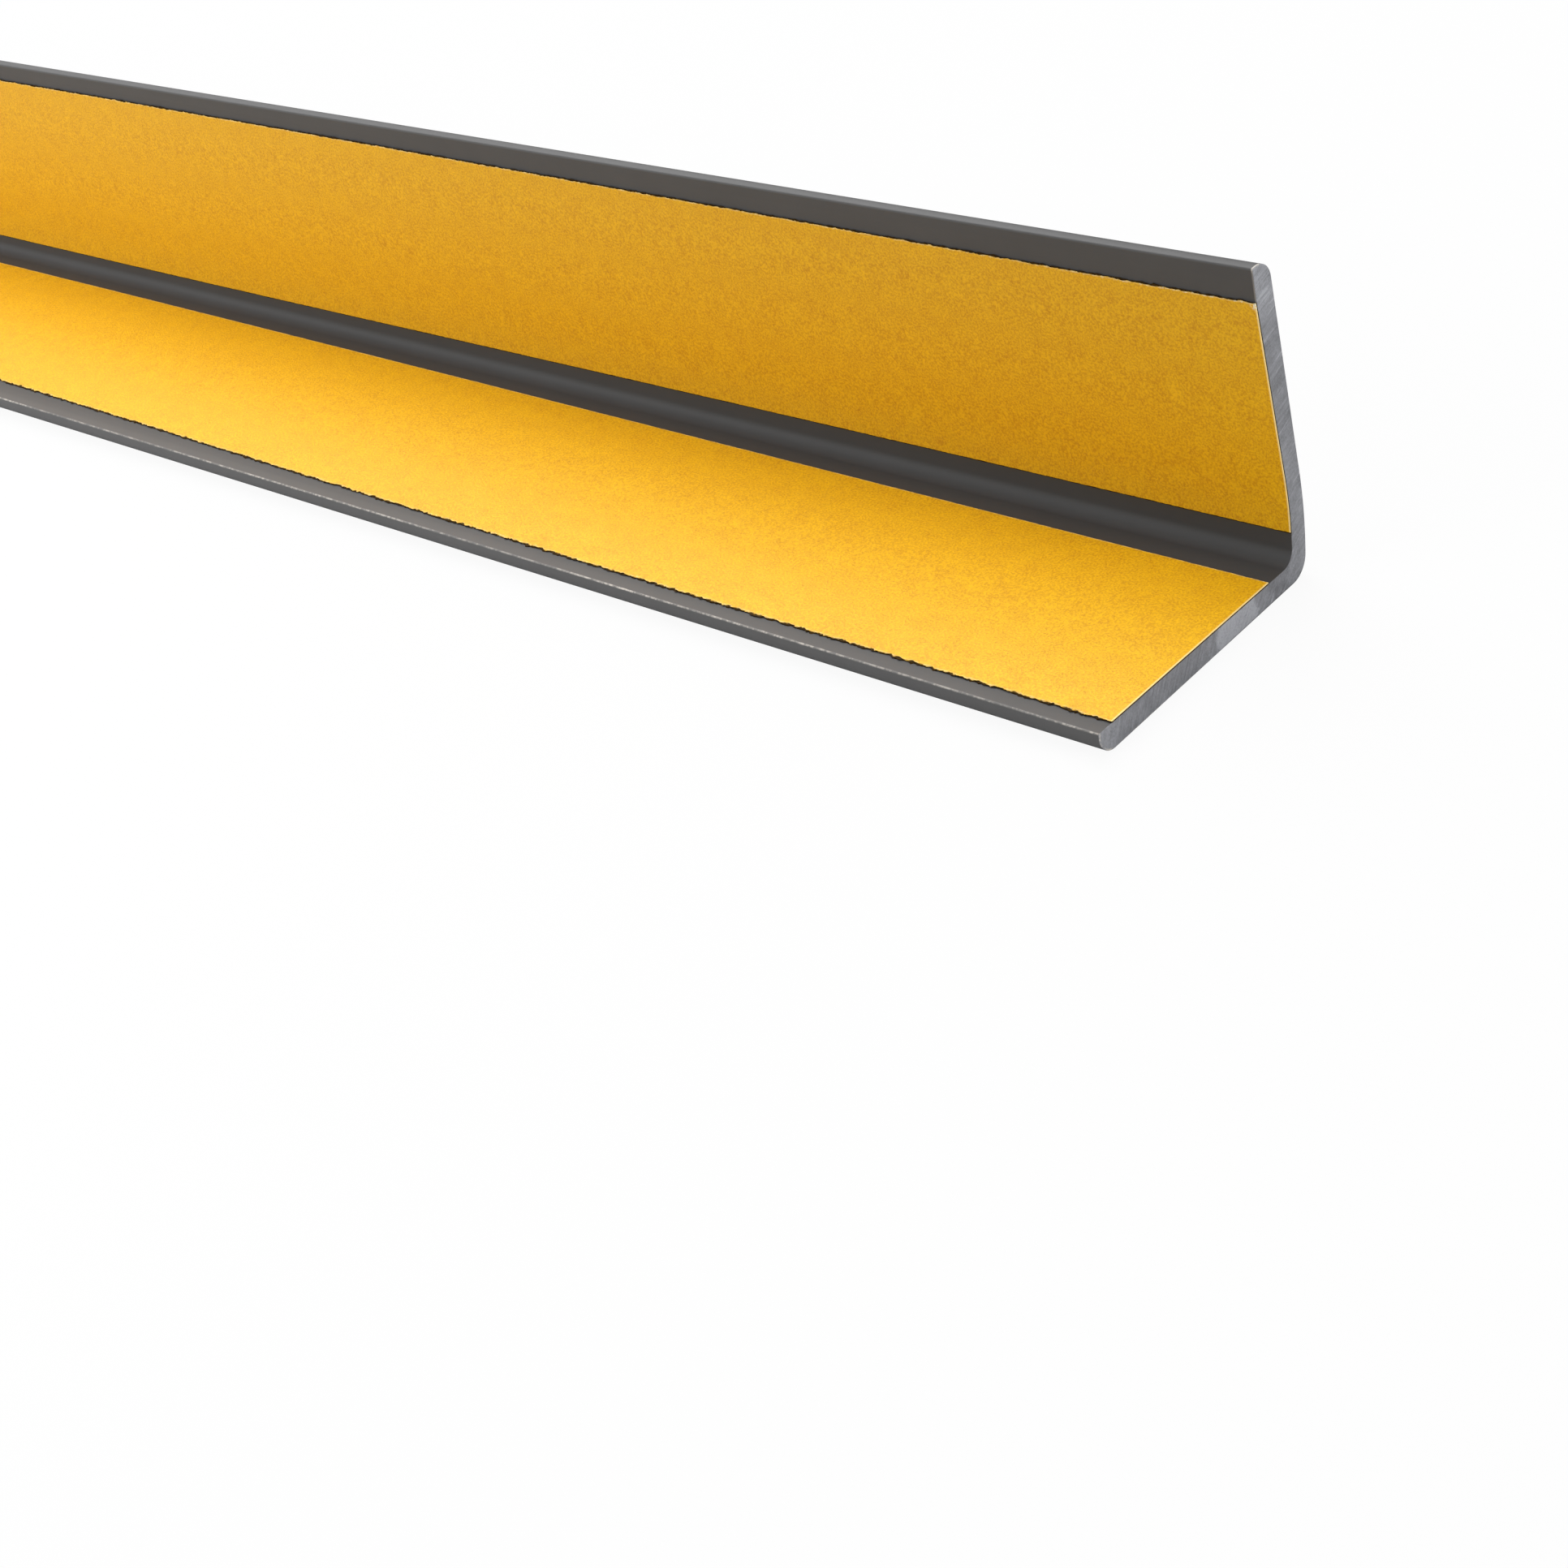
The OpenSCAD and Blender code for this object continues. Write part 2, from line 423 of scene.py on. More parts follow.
def stock_bar_tree():
    """Sweeps a section along X, eases its sawn arrises, frays its rims and lets its edges drift."""
    inputs = [
        ("Geometry", "NodeSocketGeometry", None),
        ("Length", "NodeSocketFloat", 1.0),
        ("Ring Spacing", "NodeSocketFloat", 0.005),
        ("Sawn Arris", "NodeSocketFloat", 0.0),
        ("Fray", "NodeSocketFloat", 0.0),
        ("Fray Scale", "NodeSocketFloat", 300.0),
        ("Drift Run", "NodeSocketFloat", 0.256),
        ("Seed", "NodeSocketFloat", 0.0),
        ("Material", "NodeSocketMaterial", None),
    ]
    outputs = [("Geometry", "NodeSocketGeometry")]
    tree, given, result = new_tree("Stock bar", "GeometryNodeTree", inputs, outputs)
    half = times(tree, given["Length"], 0.5)

    def step(kind, **sockets):
        """A geometry node, whose sockets are named with underscores for spaces."""
        spelt = {key.replace("_", " "): value for key, value in sockets.items()}
        return add_node(tree, kind, spelt).outputs[0]

    # the section is laid in its own plane before the sweep turns it to face along the bar
    place = split_xyz(tree, step("GeometryNodeInputPosition"))
    flat = join_xyz(tree, *[times(tree, place[axis], -1.0) for axis in "YZ"])
    laid = step("GeometryNodeSetPosition", Geometry=given["Geometry"], Position=flat)
    loop = step("GeometryNodeMeshToCurve", Mesh=laid)

    # the path runs between the sawn ends, with one ring close to each end for the arris
    start = join_xyz(tree, times(tree, half, -1.0))
    path = step("GeometryNodeCurvePrimitiveLine", Start=start, End=join_xyz(tree, half))
    spaces = calc(tree, "ROUND", calc(tree, "DIVIDE", given["Length"], given["Ring Spacing"]))
    rings = calc(tree, "ADD", spaces, 1.0)
    path = step("GeometryNodeResampleCurve", Curve=path, Count=rings)
    index = step("GeometryNodeInputIndex")
    same_index = 0.1
    second = calc(tree, "COMPARE", index, 1.0, same_index)
    last_but_one = calc(tree, "COMPARE", index, calc(tree, "SUBTRACT", rings, 2.0), same_index)
    to_end = calc(tree, "SUBTRACT", given["Ring Spacing"], given["Sawn Arris"])
    shift = times(tree, calc(tree, "SUBTRACT", last_but_one, second), to_end)
    path = step("GeometryNodeSetPosition", Geometry=path, Offset=join_xyz(tree, shift))
    bar = step("GeometryNodeCurveToMesh", Curve=path, Profile_Curve=loop, Fill_Caps=True)

    # offsets across the bar, by the distance from the sawn end at +X
    point = step("GeometryNodeInputPosition")
    x = split_xyz(tree, point)["X"]
    station = calc(tree, "SUBTRACT", half, x)

    def named(key, scale):
        """The vector that the section's points carry under a name, scaled."""
        kind = "GeometryNodeInputNamedAttribute"
        vector = add_node(tree, kind, {"Name": key}, data_type="FLOAT_VECTOR").outputs[0]
        return vector_calc(tree, "SCALE", vector, scale=scale)

    beyond = calc(tree, "SUBTRACT", calc(tree, "ABSOLUTE", x), half)
    at_saw = calc(tree, "COMPARE", beyond, 0.0, SAW_TOLERANCE)
    inset = times(tree, given["Sawn Arris"], -1.0)
    eased = named("outward", times(tree, at_saw, inset))
    seeded = vector_calc(tree, "ADD", point, join_xyz(tree, given["Seed"]))
    coarse = calc(tree, "SUBTRACT", scatter(tree, seeded, given["Fray Scale"], 2.0, 0.55), 0.5)
    fine_scale = times(tree, given["Fray Scale"], FINE_FRAY_RATIO)
    fine = calc(tree, "SUBTRACT", scatter(tree, seeded, fine_scale, 2.0), 0.5)
    both = calc(tree, "ADD", coarse, times(tree, fine, FINE_FRAY_WEIGHT))
    # the noise swings half a unit to each side, so it is doubled
    frayed = named("fray", times(tree, both, given["Fray"], 2.0))
    turn = calc(tree, "DIVIDE", times(tree, station, math.pi / 2), given["Drift Run"])
    wave = calc(tree, "SINE", turn)
    late_wave = times(tree, wave, wave, wave)
    drifted = vector_calc(tree, "ADD", named("drift", wave), named("late_drift", late_wave))
    offset = vector_calc(tree, "ADD", vector_calc(tree, "ADD", eased, frayed), drifted)
    bar = step("GeometryNodeSetPosition", Geometry=bar, Offset=offset)

    # flanks are smooth, sawn ends are flat and arrises stay sharp
    end_on = calc(tree, "ABSOLUTE", split_xyz(tree, step("GeometryNodeInputNormal"))["X"])
    flank = calc(tree, "LESS_THAN", end_on, END_FACING)
    fold = add_node(tree, "GeometryNodeInputMeshEdgeAngle").outputs["Unsigned Angle"]
    blunt = calc(tree, "LESS_THAN", fold, SHARP_FOLD)
    for smooth, domain in ((flank, "FACE"), (blunt, "EDGE")):
        sockets = {"Geometry": bar, "Shade Smooth": smooth}
        bar = add_node(tree, "GeometryNodeSetShadeSmooth", sockets, domain=domain).outputs[0]
    bar = step("GeometryNodeRealizeInstances", Geometry=bar)
    bar = step("GeometryNodeSetMaterial", Geometry=bar, Material=given["Material"])
    tree.links.new(bar, result["Geometry"])
    return tree


def sweep_bar(section, settings):
    """Runs the section through the stock bar tree and keeps the result as a plain mesh."""
    name = "Stock bar"
    tree = bpy.data.node_groups.get(name) or stock_bar_tree()
    modifier = section.modifiers.new(name, "NODES")
    modifier.node_group = tree
    sockets = {s.name: s.identifier for s in tree.interface.items_tree if s.in_out == "INPUT"}
    for key, value in settings.items():
        modifier[sockets[key]] = value
    graph = bpy.context.evaluated_depsgraph_get()
    swept = bpy.data.meshes.new_from_object(section.evaluated_get(graph))
    section.modifiers.remove(modifier)
    for key in ("outward", "fray", "drift", "late_drift"):
        if key in swept.attributes:
            swept.attributes.remove(swept.attributes[key])
    loop = section.data
    section.data = swept
    swept.name = section.name
    bpy.data.meshes.remove(loop)
    if not swept.materials:
        swept.materials.append(settings["Material"])
    return section


def place_piece(piece, node):
    """The piece rides on the one body and stands for its CAD node, which it hides."""
    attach(piece, "root")
    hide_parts(node)
    return piece


# Finishes

def speckle_group():
    """Grain at two sizes: a fine one that shows as tooth, and a broad one that shows as clouds."""
    name = "Two-size grain"
    if name in bpy.data.node_groups:
        return bpy.data.node_groups[name]
    inputs = [
        ("Vector", "NodeSocketVector", None),
        ("Fine Scale", "NodeSocketFloat", 3000.0),
        ("Cloud Scale", "NodeSocketFloat", 300.0),
        ("Contrast", "NodeSocketFloat", 1.0),
    ]
    outputs = [("Fine", "NodeSocketFloat"), ("Clouds", "NodeSocketFloat")]
    tree, given, result = new_tree(name, "ShaderNodeTree", inputs, outputs)
    spread = calc(tree, "DIVIDE", 0.25, given["Contrast"])
    low = calc(tree, "SUBTRACT", 0.5, spread)
    high = calc(tree, "ADD", 0.5, spread)
    fine = scatter(tree, given["Vector"], given["Fine Scale"], 3.0, 0.6)
    clouds = scatter(tree, given["Vector"], given["Cloud Scale"], 3.0, 0.55)
    tree.links.new(remap(tree, fine, low, high), result["Fine"])
    tree.links.new(remap(tree, clouds, low, high), result["Clouds"])
    return tree


def new_material(name, **constants):
    """A material with one Principled shader, whose even values are set on its own sockets."""
    material = bpy.data.materials.new(name)
    material.use_nodes = True
    tree = material.node_tree
    shader = tree.nodes["Principled BSDF"]
    for key, value in constants.items():
        shader.inputs[key.replace("_", " ")].default_value = value
    where = add_node(tree, "ShaderNodeTexCoord").outputs["Object"]
    return material, tree, shader, where


def grain(tree, vector, fine, clouds, contrast):
    made = add_node(tree, "ShaderNodeGroup", node_tree=speckle_group())
    tree.links.new(vector, made.inputs["Vector"])
    made.inputs["Fine Scale"].default_value = fine
    made.inputs["Cloud Scale"].default_value = clouds
    made.inputs["Contrast"].default_value = contrast
    return made.outputs["Fine"], made.outputs["Clouds"]


def carried(tree, name, output):
    """What the mesh's points carry under a name."""
    made = add_node(tree, "ShaderNodeAttribute", attribute_name=name, attribute_type="GEOMETRY")
    return made.outputs[output]


def relief(tree, height, strength):
    """A normal from a height in metres."""
    sockets = {"Strength": strength, "Distance": 1.0, "Height": height}
    return add_node(tree, "ShaderNodeBump", sockets).outputs["Normal"]


def weigh(tree, *parts):
    """Sum of values, each times its own share."""
    total = None
    for value, share in parts:
        part = times(tree, value, share)
        total = part if total is None else calc(tree, "ADD", total, part)
    return total


def near_line(tree, across, place, full, gone, stray=None):
    """1 within a distance of a line along the bar, falling to 0 at a further distance.
    A stray value is added to the distance, so that the boundary wanders."""
    away = vector_calc(tree, "DISTANCE", across, (0.0, place.x, place.y))
    if stray is not None:
        away = calc(tree, "ADD", away, stray)
    return fall(tree, away, full, gone)


def near_end(tree, end_reach, half, band):
    """0 up to the band's first depth in from a sawn end, rising to 1 at its second depth."""
    return rise(tree, end_reach, *[half - depth for depth in band])


# Middle of the saw's arcs, in Y and Z from the bar's middle and underside, in millimetres
SAW_CENTRE = (35.0, -25.0)
# Patches that the saw left lighter or darker: place in Y and Z, even within, gone beyond (all in
# millimetres), change of tone
SAW_PATCHES = (
    ((17.5, 37.0), 2.7, 6.0, 0.09),
    ((17.5, 24.0), 3.6, 8.0, -0.02),
    ((5.4, 1.5), 3.5, 4.3, 0.22),
    ((13.6, 2.0), 1.2, 3.0, -0.05),
    ((-8.5, 1.5), 7.5, 9.5, -0.03),
    ((-18.3, 1.8), 1.2, 2.8, 0.045),
)


def saw_strokes(tree, across):
    """Strokes in arcs about the saw's centre: a fine even set, and a few bright ones."""
    at = split_xyz(tree, across)
    centre = [value * MM for value in SAW_CENTRE]
    radius = vector_calc(tree, "DISTANCE", across, (0.0, *centre))
    sweep = calc(tree, "ARCTAN2", calc(tree, "SUBTRACT", at["Z"], centre[1]),
                 calc(tree, "SUBTRACT", at["Y"], centre[0]))

    def stroke(across_arcs, along_arcs, detail):
        """Noise with its scale across the arcs, per metre, and along them, per radian."""
        stretched = join_xyz(tree, times(tree, radius, across_arcs), times(tree, sweep, along_arcs))
        return scatter(tree, stretched, 1.0, detail, 0.7)

    return stroke(2700.0, 14.0, 4.0), rise(tree, stroke(1500.0, 9.0, 2.0), 0.58, 0.7)


# Distance from the ridge's crest within which the plastic is raw and painted with glints, and beyond which
# it is not
RAW_GLINT_BAND = (0.06 * MM, 0.2 * MM)


def raw_and_glint_ridge(tree, where, across, sizes, breaks):
    """Raw plastic with painted glints along the arris of the base's lip, as a broken line that comes and
    goes in patches.
    """
    crest = Vector((RIDGE_CREST - sizes.base_w / 2, sizes.lip_wall))
    on_ridge = near_line(tree, across, crest, *RAW_GLINT_BAND)
    patch_scale = 30.0
    least_in_patch, least_in_line = 0.45, 0.22
    patches = scatter(tree, where, patch_scale, 3.0, 0.6)
    patches = remap(tree, patches, 0.4, 0.62, least_in_patch, 1.0, smooth=True)
    line = calc(tree, "MULTIPLY_ADD", breaks, 1 - least_in_line, least_in_line)
    return times(tree, line, patches, on_ridge)


# The burr round a sawn face, which at the base's lip and at the upright's top is also a painted highlight
# of the sawn arris.
# At the base's lip: how deep it is gone and whole, how soft its outer edge is, and how far past the middle
# of the lip's round it is whole and gone
LIP_BURR_GLINT_BAND = (0.34 * MM, 0.1 * MM)
LIP_BURR_GLINT_EDGE = 0.05 * MM
LIP_BURR_GLINT_REACH = (-0.2 * MM, 0.6 * MM)
# On the underside: how high the burr and the painted shadow are whole and gone, and the Y between which the
# burr runs out
FOOT_BURR_AND_SHADOW_BAND = (0.08 * MM, 0.22 * MM)
FOOT_BURR_RUN = (-6 * MM, 2 * MM)
# The Y between which a painted contact shadow sets in along the underside's edge towards the root
FOOT_SHADOW_RUN = (1 * MM, 3 * MM)
# At the upright's lip: how far below the top it is gone and whole
TOP_BURR_GLINT_BAND = (0.24 * MM, 0.08 * MM)


def sawn_colour(tree, across, sizes, colours, strokes, grains, breaks):
    """Colour of a sawn face: strokes in arcs, light and dark patches, a pale burr round its edges that is
    partly painted highlight of the sawn arris, and a painted contact shadow along the underside.
    It takes the fine and bright strokes, and the stipple and mottle of the grain."""
    at = split_xyz(tree, across)
    arcs, bright = strokes
    stipple, mottle = grains
    tone = weigh(tree, (arcs, 0.48), (stipple, 0.26), (mottle, 0.26))
    # the patches' boundaries wander by this much, with the mottle and with the stipple
    mottle_stray, stipple_stray = 5 * MM, 3 * MM
    stray = weigh(tree, (calc(tree, "SUBTRACT", mottle, 0.5), mottle_stray),
                  (calc(tree, "SUBTRACT", stipple, 0.5), stipple_stray))
    for place, full, gone, lift in SAW_PATCHES:
        patch = near_line(tree, across, Vector(place) * MM, full * MM, gone * MM, stray)
        rough_lift = calc(tree, "MULTIPLY_ADD", stipple, lift, 0.5 * lift)
        tone = calc(tree, "MULTIPLY_ADD", patch, rough_lift, tone)
    bright_lift = 0.13
    tone = calc(tree, "ADD", tone, times(tree, bright, bright_lift))
    darkest, lightest = 0.62, 1.81
    saw_dark = [c * darkest for c in colours.sawn]
    saw_light = [min(1.0, c * lightest) for c in colours.sawn]
    cut = blend_colour(tree, remap(tree, tone, 0.37, 0.75), saw_dark, saw_light)

    # the burr, with a painted highlight of the sawn arris, rings the round of the base's lip on its outer
    # side
    lip_round = lip_radius(sizes)
    lip_c = Vector((lip_round - sizes.base_w / 2, lip_round))
    ring = near_line(tree, across, lip_c, lip_round - LIP_BURR_GLINT_EDGE, lip_round + LIP_BURR_GLINT_EDGE)
    core = near_line(tree, across, lip_c, *[lip_round - depth for depth in LIP_BURR_GLINT_BAND])
    outer_side = fall(tree, at["Y"], *[lip_c.x + reach for reach in LIP_BURR_GLINT_REACH])
    rim = times(tree, calc(tree, "SUBTRACT", ring, core), outer_side)
    # it fades out along the underside, where a painted contact shadow darkens the edge towards the root,
    # and shows again at the top
    low_share, top_share, dark_share = 0.5, 0.7, 0.8
    foot = fall(tree, at["Z"], *FOOT_BURR_AND_SHADOW_BAND)
    low_edge = times(tree, foot, remap(tree, at["Y"], *FOOT_BURR_RUN, low_share, 0.0))
    # painted contact shadow: the underside's edge turns towards the darker matte plastic near the root
    painted_foot_shadow = times(tree, foot, remap(tree, at["Y"], *FOOT_SHADOW_RUN, 0.0, dark_share))
    cut = blend_colour(tree, painted_foot_shadow, cut, colours.matte)
    # at the upright's top the pale edge is burr and painted highlight of the sawn arris
    top = rise(tree, at["Z"], *[sizes.upright_h - depth for depth in TOP_BURR_GLINT_BAND])
    top_edge = times(tree, top, top_share)
    rim = calc(tree, "MAXIMUM", rim, calc(tree, "MAXIMUM", low_edge, top_edge))
    return blend_colour(tree, times(tree, rim, breaks), cut, colours.burr_and_glint)


# The burr that curls over the arris of the upright's lip: how far in from the sawn end it is gone and
# whole, its middle from the arris, and how far from there it is even and gone
CURL_BAND = (0.3 * MM, 0.12 * MM)
CURL_MIDDLE = Vector((0.6, 0.1)) * MM
CURL_SIZE = (0.55 * MM, 1.15 * MM)
# The faint line in which it runs on down the inner arris: how far below the top it is gone and whole, how
# far behind the arris it is whole and gone, and its strength
CURL_LINE_RUN = (7.2 * MM, 4.2 * MM)
CURL_LINE_BAND = (0.35 * MM, 0.65 * MM)
CURL_LINE_SHARE = 0.3


def lip_burr(tree, across, end_reach, sizes):
    """The pale burr that curls over the arris of the upright's lip at a sawn end, as a mask."""
    at = split_xyz(tree, across)
    near_cut = near_end(tree, end_reach, sizes.length / 2, CURL_BAND)
    arris = Vector((sizes.base_w / 2 - sizes.lip_wall, sizes.upright_h))
    at_top = near_line(tree, across, arris + CURL_MIDDLE, *CURL_SIZE)
    high_up = rise(tree, at["Z"], *[arris.y - drop for drop in CURL_LINE_RUN])
    behind = [arris.x + depth for depth in CURL_LINE_BAND]
    down = times(tree, high_up, remap(tree, at["Y"], *behind, CURL_LINE_SHARE, 0.0))
    return times(tree, near_cut, calc(tree, "MAXIMUM", at_top, down))


# Noise scales of the plastic, per metre: its die lines along the bar and across it, the tooth and clouds
# of its skin, the stipple and mottle of its sawn ends, and the breaks in its raw edges
DIE_LINE_SCALES = (4.0, 1400.0, 1400.0)
SKIN_SCALES = (5000.0, 120.0)
SAWN_SCALES = (3600.0, 380.0)
BREAK_SCALE = 1100.0
# How much rougher the plastic of the channel and of all the duller faces is than the satin of the outside
DULL_ROUGHNESS = 0.3
# How far in from the sawn end the finish of the sawn face is gone and whole
SAWN_BAND = (0.09 * MM, 0.03 * MM)


def plastic_material(colours, sizes):
    """Satin extruded plastic with die lines along the bar, and lighter sawn ends with saw arcs."""
    material, tree, shader, where = new_material("Extruded plastic", IOR=1.5)
    across = vector_calc(tree, "MULTIPLY", where, (0.0, 1.0, 1.0))
    end_reach = calc(tree, "ABSOLUTE", split_xyz(tree, where)["X"])
    on_cut = near_end(tree, end_reach, sizes.length / 2, SAWN_BAND)

    # die lines run along X and vary only across the section
    along = vector_calc(tree, "MULTIPLY", where, DIE_LINE_SCALES)
    die_lines = scatter(tree, along, 1.0, 4.0, 0.6)
    tooth, clouds = grain(tree, where, *SKIN_SCALES, 1.0)
    matte = carried(tree, "matte", "Fac")
    body = blend_colour(tree, matte, colours.plastic, colours.matte)
    dark_tint, light_tint = 0.9, 1.12
    tone = weigh(tree, (clouds, 0.5), (die_lines, 0.5))
    tint = blend_colour(tree, tone, [dark_tint] * 3, [light_tint] * 3)
    skin = blend_colour(tree, 1.0, body, tint, mode="MULTIPLY")

    breaks = rise(tree, scatter(tree, where, BREAK_SCALE, 4.0, 0.7), 0.42, 0.62)
    # pale raw plastic along the base lip's arris, partly painted glints
    raw_and_glint = raw_and_glint_ridge(tree, where, across, sizes, breaks)
    skin = blend_colour(tree, raw_and_glint, skin, colours.burr_and_glint)
    skin = blend_colour(tree, lip_burr(tree, across, end_reach, sizes), skin, colours.burr_and_glint)
    strokes = saw_strokes(tree, across)
    stipple = scatter(tree, where, SAWN_SCALES[0], 2.0, 0.7)
    mottle = scatter(tree, where, SAWN_SCALES[1], 3.0, 0.6)
    cut = sawn_colour(tree, across, sizes, colours, strokes, (stipple, mottle), breaks)
    tree.links.new(blend_colour(tree, on_cut, skin, cut), shader.inputs["Base Color"])

    arcs = strokes[0]
    dull = remap(tree, matte, 0.0, CHANNEL_MATTE, 0.0, DULL_ROUGHNESS)
    rough_skin = calc(tree, "ADD", remap(tree, die_lines, 0.3, 0.7, 0.29, 0.35), dull)
    rough_cut = remap(tree, arcs, 0.3, 0.7, 0.5, 0.68)
    tree.links.new(blend_value(tree, on_cut, rough_skin, rough_cut), shader.inputs["Roughness"])

    skin_height = weigh(tree, (die_lines, 0.004 * MM), (tooth, 0.001 * MM), (raw_and_glint, 0.012 * MM))
    cut_height = weigh(tree, (arcs, 0.02 * MM), (stipple, 0.008 * MM))
    height = blend_value(tree, on_cut, skin_height, cut_height)
    tree.links.new(relief(tree, height, 1.0), shader.inputs["Normal"])
    return material


# Noise scales of the release paper, per metre: its tooth and clouds, the fibres that wander through it and
# the patches that they stand in, the flecks of its slit edges, and the shreds of its torn ones
PAPER_SCALES = (3700.0, 420.0)
FIBRE_SCALE = 1300.0
FIBRE_PATCH_SCALE = 700.0
FLECK_SCALE = 1500.0
SHRED_SCALE = 2600.0
# How far in from the sawn end the paper's pale cut edge is gone and whole, and how pale it is
CUT_BAND = (0.2 * MM, 0.06 * MM)
CUT_SHARE = 0.92
# X from the sawn end where the upper slit edge starts to be torn, and where it is torn the most
TORN_RUN = (-32 * MM, -4 * MM)
# Height from that edge where the tear starts to show, and where it is whole
TORN_BAND = (-0.12 * MM, 0.02 * MM)
# Distance from the strip's upper corner within which white fibres stand, and beyond which they are gone
TORN_CORNER = (0.35 * MM, 1.0 * MM)


def slit_edges(tree, where, end_reach, half):
    """Pale slit edges of the paper, as a mask: paler paper with a painted highlight, flecked along the bar,
    on the edges that face up, back or forward, and even along the sawn end."""
    rim = carried(tree, "rim", "Vector")
    # the edges facing up, back or forward get a painted highlight over the paler paper
    back = rise(tree, vector_calc(tree, "DOT_PRODUCT", rim, (0.0, 1.0, 1.0)), 0.45, 0.95)
    front = rise(tree, vector_calc(tree, "DOT_PRODUCT", rim, (0.0, -1.0, 0.0)), 0.3, 0.9)
    flecks = scatter(tree, where, FLECK_SCALE, 3.0, 0.65)
    flecks = remap(tree, flecks, 0.4, 0.6, 0.25, 1.0, smooth=True)
    pale_and_highlit_edge = times(tree, flecks, weigh(tree, (back, 0.7), (front, 0.6)))
    cut_edge = times(tree, near_end(tree, end_reach, half, CUT_BAND), CUT_SHARE)
    return calc(tree, "MAXIMUM", pale_and_highlit_edge, cut_edge)


def torn_edges(tree, where, end_reach, half, top_edge):
    """White fibres, as a mask: along the upper slit edge near each sawn end, and at its corners."""
    inward = calc(tree, "SUBTRACT", end_reach, half)
    above = calc(tree, "SUBTRACT", split_xyz(tree, where)["Z"], top_edge)
    from_corner = vector_calc(tree, "LENGTH", join_xyz(tree, inward, above))
    at_corner = fall(tree, from_corner, *TORN_CORNER)
    near_edge = rise(tree, above, *TORN_BAND)
    most_torn = 0.6
    torn_run = remap(tree, inward, *TORN_RUN, 0.0, most_torn)
    shreds = scatter(tree, where, SHRED_SCALE, 2.0, 0.6)
    torn_edge = times(tree, near_edge, torn_run, rise(tree, shreds, 0.55, 0.6))
    torn_corner = times(tree, at_corner, rise(tree, shreds, 0.42, 0.5))
    return calc(tree, "MAXIMUM", torn_edge, torn_corner)


def paper_material(colours, half, top_edge):
    """Deep yellow release paper: a soft fibre tooth over faint clouds, with paler slit edges.
    It takes half the bar's length and the height of the upright strip's top edge."""
    material, tree, shader, where = new_material(
        "Release paper", IOR=1.45, Roughness=0.47, Specular_Tint=(1.0, 0.94, 0.7, 1.0),
    )
    tooth, clouds = grain(tree, where, *PAPER_SCALES, 2.2)
    # dark fibres wander through the grain
    wander = scatter(tree, where, FIBRE_SCALE, 2.0, 0.5, 1.2)
    off_fibre = calc(tree, "ABSOLUTE", calc(tree, "SUBTRACT", wander, 0.5))
    fibre_patches = rise(tree, scatter(tree, where, FIBRE_PATCH_SCALE, 1.0), 0.42, 0.6)
    fibres = times(tree, fall(tree, off_fibre, 0.012, 0.05), fibre_patches)
    dark_share = weigh(tree, (tooth, 0.64), (clouds, 0.13), (fibres, 0.2))
    body = blend_colour(tree, dark_share, colours.paper, colours.paper_dark)
    end_reach = calc(tree, "ABSOLUTE", split_xyz(tree, where)["X"])
    colour = blend_colour(tree, slit_edges(tree, where, end_reach, half), body, colours.paper_edge_and_glint)
    colour = blend_colour(tree, torn_edges(tree, where, end_reach, half, top_edge), colour, colours.fibres)
    tree.links.new(colour, shader.inputs["Base Color"])
    height = weigh(tree, (tooth, 0.03 * MM), (clouds, 0.03 * MM), (fibres, -0.02 * MM))
    tree.links.new(relief(tree, height, 0.42), shader.inputs["Normal"])
    return material


def adhesive_material(colours):
    """Dark tacky film, seen only at its edges, with small lumps painted lighter as glints."""
    material, tree, shader, where = new_material("Adhesive film", Specular_IOR_Level=0.06)
    lumps, clouds = grain(tree, where, 2400.0, 500.0, 1.2)
    # the lumps are painted lighter, as glints
    lightest = 1.7
    glint_colour = [min(1.0, c * lightest) for c in colours.adhesive]
    tree.links.new(blend_colour(tree, lumps, colours.adhesive, glint_colour), shader.inputs["Base Color"])
    tree.links.new(remap(tree, clouds, 0.0, 1.0, 0.55, 0.8), shader.inputs["Roughness"])
    lump_height = times(tree, lumps, 0.04 * MM)
    tree.links.new(relief(tree, lump_height, 0.8), shader.inputs["Normal"])
    return material


# How much of the background's white shows in reflections, and how much of it the floor takes on
GLOSSY_SHARE = 0.12
WHITE_SHARE = 0.93


def seen_rays(tree):
    """1 for rays that show the background itself, less for its reflection, 0 for light on the object."""
    rays = add_node(tree, "ShaderNodeLightPath").outputs
    reflected = times(tree, rays["Is Glossy Ray"], GLOSSY_SHARE)
    return calc(tree, "MAXIMUM", rays["Is Camera Ray"], reflected)


def mix_shaders(tree, factor, a, b):
    return add_node(tree, "ShaderNodeMixShader", {0: factor, 1: a, 2: b}).outputs[0]


